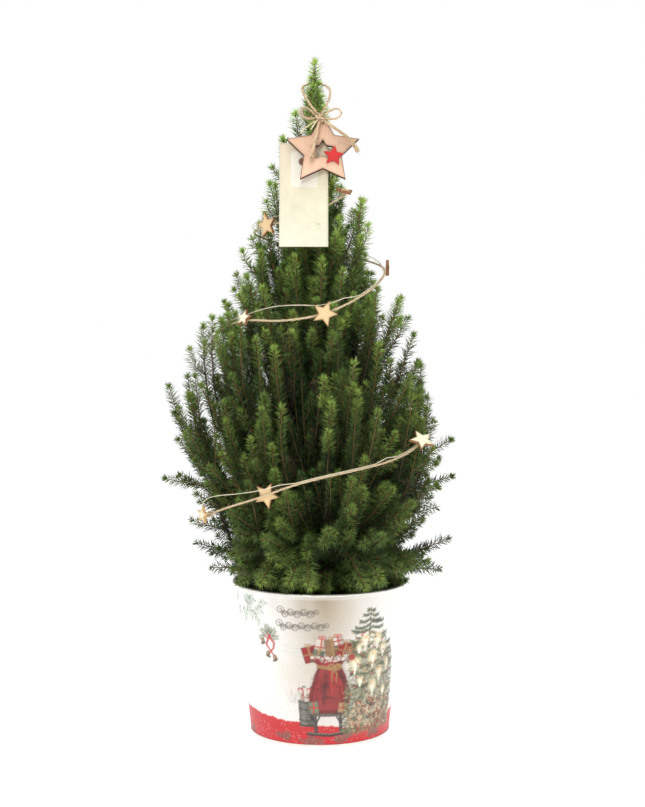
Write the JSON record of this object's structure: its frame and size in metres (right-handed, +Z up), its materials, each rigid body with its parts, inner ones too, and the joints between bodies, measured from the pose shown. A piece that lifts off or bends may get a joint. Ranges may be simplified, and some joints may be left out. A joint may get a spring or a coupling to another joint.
{
  "type": "potted tabletop tree",
  "caption": "Small conical evergreen tree in a liner pot inside a printed tapered tin, with a wooden star tag, a card and a jute garland of wooden stars.",
  "frame": {"origin": "on the resting plane, under the middle of the tin", "axes": "+Z up along the tin's axis, -Y towards the front, where the tag and the card hang, +X to the right"},
  "size_m": [0.28, 0.2526, 0.657],
  "materials": {
    "printed_tin": "satin lacquered print in ivory, red and green",
    "steel": "bright tinplate",
    "pot_plastic": "black recycled plastic",
    "soil": "crumbly dark peat",
    "bark": "rough orange-brown bark",
    "needles": "waxy green needles",
    "jute": "hairy twisted jute",
    "string": "thin pale string",
    "light_wood": "bare light wood with darker cut edges",
    "burnt_plywood": "sanded ply with dark laser-cut edges",
    "red_paint": "satin red paint on wood",
    "card_stock": "smooth pearly card",
    "label_paper": "matte white label"
  },
  "bodies": {
    "tin": {"tin_wall": "printed_tin", "rim_wire": "steel", "tin_base": "steel"},
    "planting": {"liner_pot": "pot_plastic", "root_ball": "soil", "trunk": "bark", "skirt_branch_front": "bark", "skirt_needles_front": "needles", "skirt_branch_right": "bark", "skirt_needles_right": "needles", "skirt_branch_back": "bark", "skirt_needles_back": "needles", "skirt_branch_left": "bark", "skirt_needles_left": "needles", "lower_branch_front": "bark", "lower_needles_front": "needles", "lower_branch_right": "bark", "lower_needles_right": "needles", "lower_branch_back": "bark", "lower_needles_back": "needles", "lower_branch_left": "bark", "lower_needles_left": "needles", "middle_branch_front": "bark", "middle_needles_front": "needles", "middle_branch_right": "bark", "middle_needles_right": "needles", "middle_branch_left": "bark", "middle_needles_left": "needles", "upper_branch_left": "bark", "upper_needles_left": "needles", "upper_branch_right": "bark", "upper_needles_right": "needles", "top_branch_left": "bark", "top_needles_left": "needles", "top_branch_right": "bark", "top_needles_right": "needles", "leader_needles": "needles", "garland_cord": "jute", "garland_thread": "string", "twine_hanging_loop": "jute", "twine_knot": "jute", "twine_bow": "jute", "twine_tails": "jute", "card_tie": "string"},
    "star_tag": {"star_tag": "burnt_plywood", "red_star": "red_paint"},
    "card": {"card": "card_stock", "card_label": "label_paper"},
    "garland_star_1": {"garland_star_1": "light_wood"},
    "garland_star_2": {"garland_star_2": "light_wood"},
    "garland_star_3": {"garland_star_3": "light_wood"},
    "garland_star_4": {"garland_star_4": "light_wood"},
    "garland_star_5": {"garland_star_5": "light_wood"},
    "garland_star_6": {"garland_star_6": "light_wood"},
    "garland_star_7": {"garland_star_7": "light_wood"},
    "garland_star_8": {"garland_star_8": "light_wood"},
    "garland_star_9": {"garland_star_9": "light_wood"},
    "garland_star_10": {"garland_star_10": "light_wood"},
    "garland_star_11": {"garland_star_11": "light_wood"}
  },
  "joints": [
    {"name": "planting_lift", "type": "slide", "parent": "tin", "child": "planting", "axis": [0, 0, 1], "range_m": [0, 0.16]},
    {"name": "star_tag_swing", "type": "hinge", "parent": "planting", "child": "star_tag", "pos_m": [0.00285, -0.03731, 0.59159], "axis": [0, -0.9588, 0.284], "range_deg": [-12, 12]},
    {"name": "card_swing", "type": "hinge", "parent": "planting", "child": "card", "pos_m": [-0.015, -0.03876, 0.56908], "axis": [0, -0.9588, 0.284], "range_deg": [-10, 10]},
    {"name": "star_1_twist", "type": "hinge", "parent": "planting", "child": "garland_star_1", "pos_m": [-0.10359, -0.07354, 0.224], "axis": [0.5952, -0.7432, 0.3054], "range_deg": [-20, 20]},
    {"name": "star_2_twist", "type": "hinge", "parent": "planting", "child": "garland_star_2", "pos_m": [-0.04953, -0.11643, 0.246], "axis": [0.8834, -0.2888, 0.3691], "range_deg": [-20, 20]},
    {"name": "star_3_twist", "type": "hinge", "parent": "planting", "child": "garland_star_3", "pos_m": [0.09363, -0.07925, 0.289], "axis": [0.2088, 0.9254, 0.3164], "range_deg": [-20, 20]},
    {"name": "star_4_twist", "type": "hinge", "parent": "planting", "child": "garland_star_4", "pos_m": [0.074, 0.08579, 0.333], "axis": [-0.7845, 0.592, 0.1845], "range_deg": [-20, 20]},
    {"name": "star_5_twist", "type": "hinge", "parent": "planting", "child": "garland_star_5", "pos_m": [-0.02857, 0.11613, 0.357], "axis": [-0.8999, -0.417, 0.1275], "range_deg": [-20, 20]},
    {"name": "star_6_twist", "type": "hinge", "parent": "planting", "child": "garland_star_6", "pos_m": [-0.06848, -0.07446, 0.406], "axis": [0.645, -0.7487, 0.1534], "range_deg": [-20, 20]},
    {"name": "star_7_twist", "type": "hinge", "parent": "planting", "child": "garland_star_7", "pos_m": [0.00417, -0.09677, 0.411], "axis": [0.9778, -0.0408, 0.2057], "range_deg": [-20, 20]},
    {"name": "star_8_twist", "type": "hinge", "parent": "planting", "child": "garland_star_8", "pos_m": [0.06329, -0.00121, 0.456], "axis": [-0.2192, 0.9543, 0.2032], "range_deg": [-20, 20]},
    {"name": "star_9_twist", "type": "hinge", "parent": "planting", "child": "garland_star_9", "pos_m": [0.01671, 0.0624, 0.474], "axis": [-0.9787, 0.1024, 0.1778], "range_deg": [-20, 20]},
    {"name": "star_10_twist", "type": "hinge", "parent": "planting", "child": "garland_star_10", "pos_m": [-0.04813, -0.03928, 0.4954], "axis": [0.7194, -0.6813, 0.1353], "range_deg": [-20, 20]},
    {"name": "star_11_twist", "type": "hinge", "parent": "planting", "child": "garland_star_11", "pos_m": [0.02254, -0.04395, 0.523], "axis": [0.7836, 0.3346, 0.5235], "range_deg": [-20, 20]}
  ]
}
